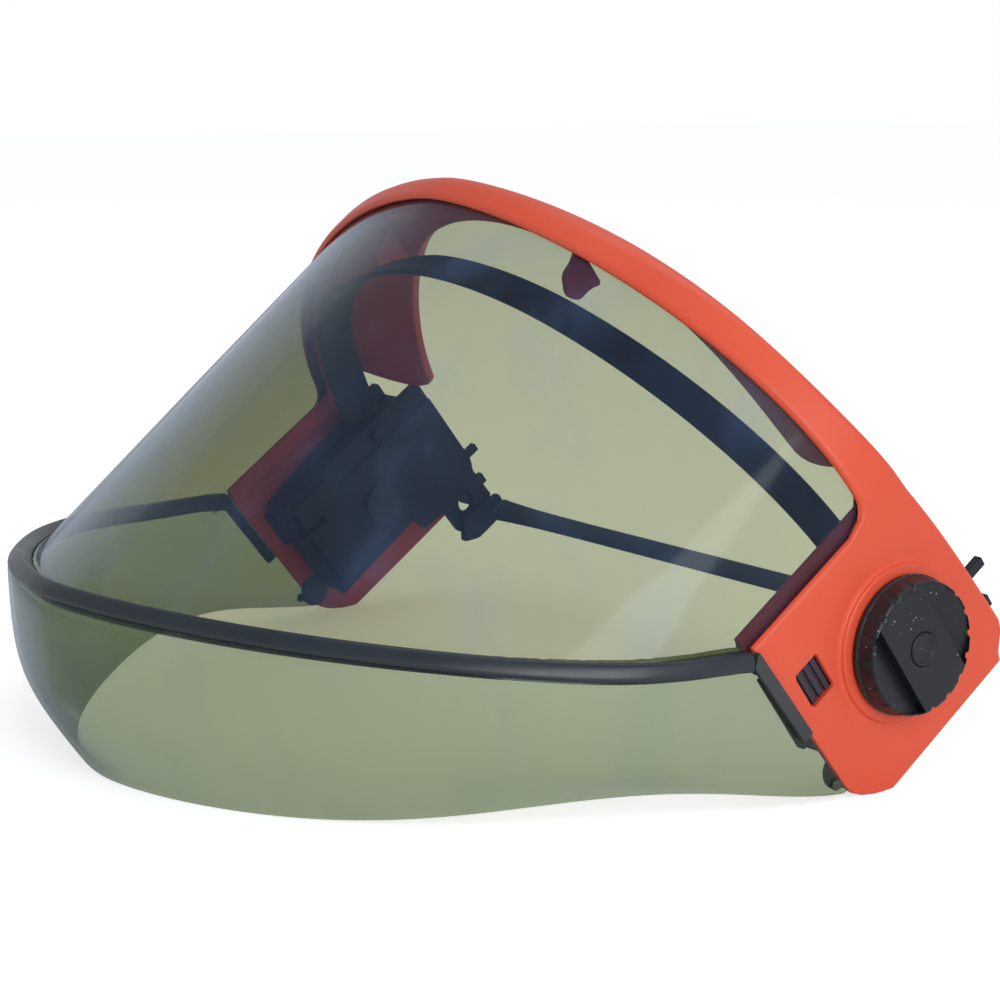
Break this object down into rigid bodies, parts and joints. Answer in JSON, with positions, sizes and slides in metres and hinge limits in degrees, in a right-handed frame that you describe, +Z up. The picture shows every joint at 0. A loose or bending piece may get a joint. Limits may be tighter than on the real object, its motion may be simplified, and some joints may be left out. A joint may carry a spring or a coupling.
{
  "type": "hard hat face shield",
  "caption": "Tinted wraparound face shield in a flip-up frame for a full-brim hard hat, with side clamping knobs, a chin cup and hat straps.",
  "frame": {"origin": "centre of the bounding box's underside, on the table the shield lies on", "axes": "+X towards the wearer's left, along the line of the two knobs; -Y towards the front of the face; +Z up from the table"},
  "size_m": [0.3422, 0.2791, 0.1895],
  "materials": {
    "orange_plastic": "semi-gloss injection moulding, lightly satin",
    "black_plastic": "fine matt moulded surface",
    "black_rubber": "smooth extruded edge strip",
    "strap_webbing": "close flat weave, dark",
    "window_tint": "clear sheet with an olive tint",
    "chin_tint": "formed sheet with a deeper olive-green tint",
    "green_plastic": "dark green, smooth",
    "blackened_steel": "blackened fastener"
  },
  "bodies": {
    "hat_adapter": {"brow_strap": "strap_webbing", "carrier_left": "black_plastic", "carrier_right": "black_plastic", "pivot_stud_left": "blackened_steel", "pivot_stud_right": "blackened_steel", "pivot_spacer_left": "black_plastic", "pivot_spacer_right": "black_plastic", "friction_disc_left": "black_rubber", "friction_disc_right": "black_rubber", "strap_rivet_left": "black_plastic", "strap_rivet_right": "black_plastic", "rear_strap": "strap_webbing", "strap_hook_left": "black_plastic", "strap_hook_right": "black_plastic"},
    "visor": {"visor_frame": "orange_plastic", "window": "window_tint", "window_retainer": "orange_plastic", "window_clip_left": "orange_plastic", "window_clip_right": "orange_plastic", "edge_gasket": "black_rubber", "chin_cup": "chin_tint", "gasket_end_left": "black_rubber", "gasket_end_right": "black_rubber", "corner_tab_left": "green_plastic", "corner_tab_right": "green_plastic", "corner_rivet_left": "green_plastic", "corner_rivet_right": "green_plastic"},
    "knob_left_turn": {"knob_left": "black_plastic", "knob_cap_left": "black_plastic"},
    "knob_right_turn": {"knob_right": "black_plastic", "knob_cap_right": "black_plastic"},
    "latch_left": {"latch_button_left": "black_plastic"},
    "latch_right": {"latch_button_right": "black_plastic"}
  },
  "joints": [
    {"name": "visor_flip", "type": "hinge", "parent": "hat_adapter", "child": "visor", "pos_m": [0, 0.0779, 0.04813], "axis": [-1, 0, 0], "range_deg": [0, 75]},
    {"name": "knob_left_spin", "type": "hinge", "parent": "hat_adapter", "child": "knob_left_turn", "pos_m": [0.166, 0.0779, 0.04813], "axis": [1, 0, 0], "range_deg": [0, 360]},
    {"name": "knob_right_spin", "type": "hinge", "parent": "hat_adapter", "child": "knob_right_turn", "pos_m": [-0.166, 0.0779, 0.04813], "axis": [-1, 0, 0], "range_deg": [0, 360]},
    {"name": "latch_left_press", "type": "slide", "parent": "visor", "child": "latch_left", "axis": [-1, 0, 0], "range_m": [0, 0.002], "stiffness_N_per_m": 400},
    {"name": "latch_right_press", "type": "slide", "parent": "visor", "child": "latch_right", "axis": [1, 0, 0], "range_m": [0, 0.002], "stiffness_N_per_m": 400}
  ]
}
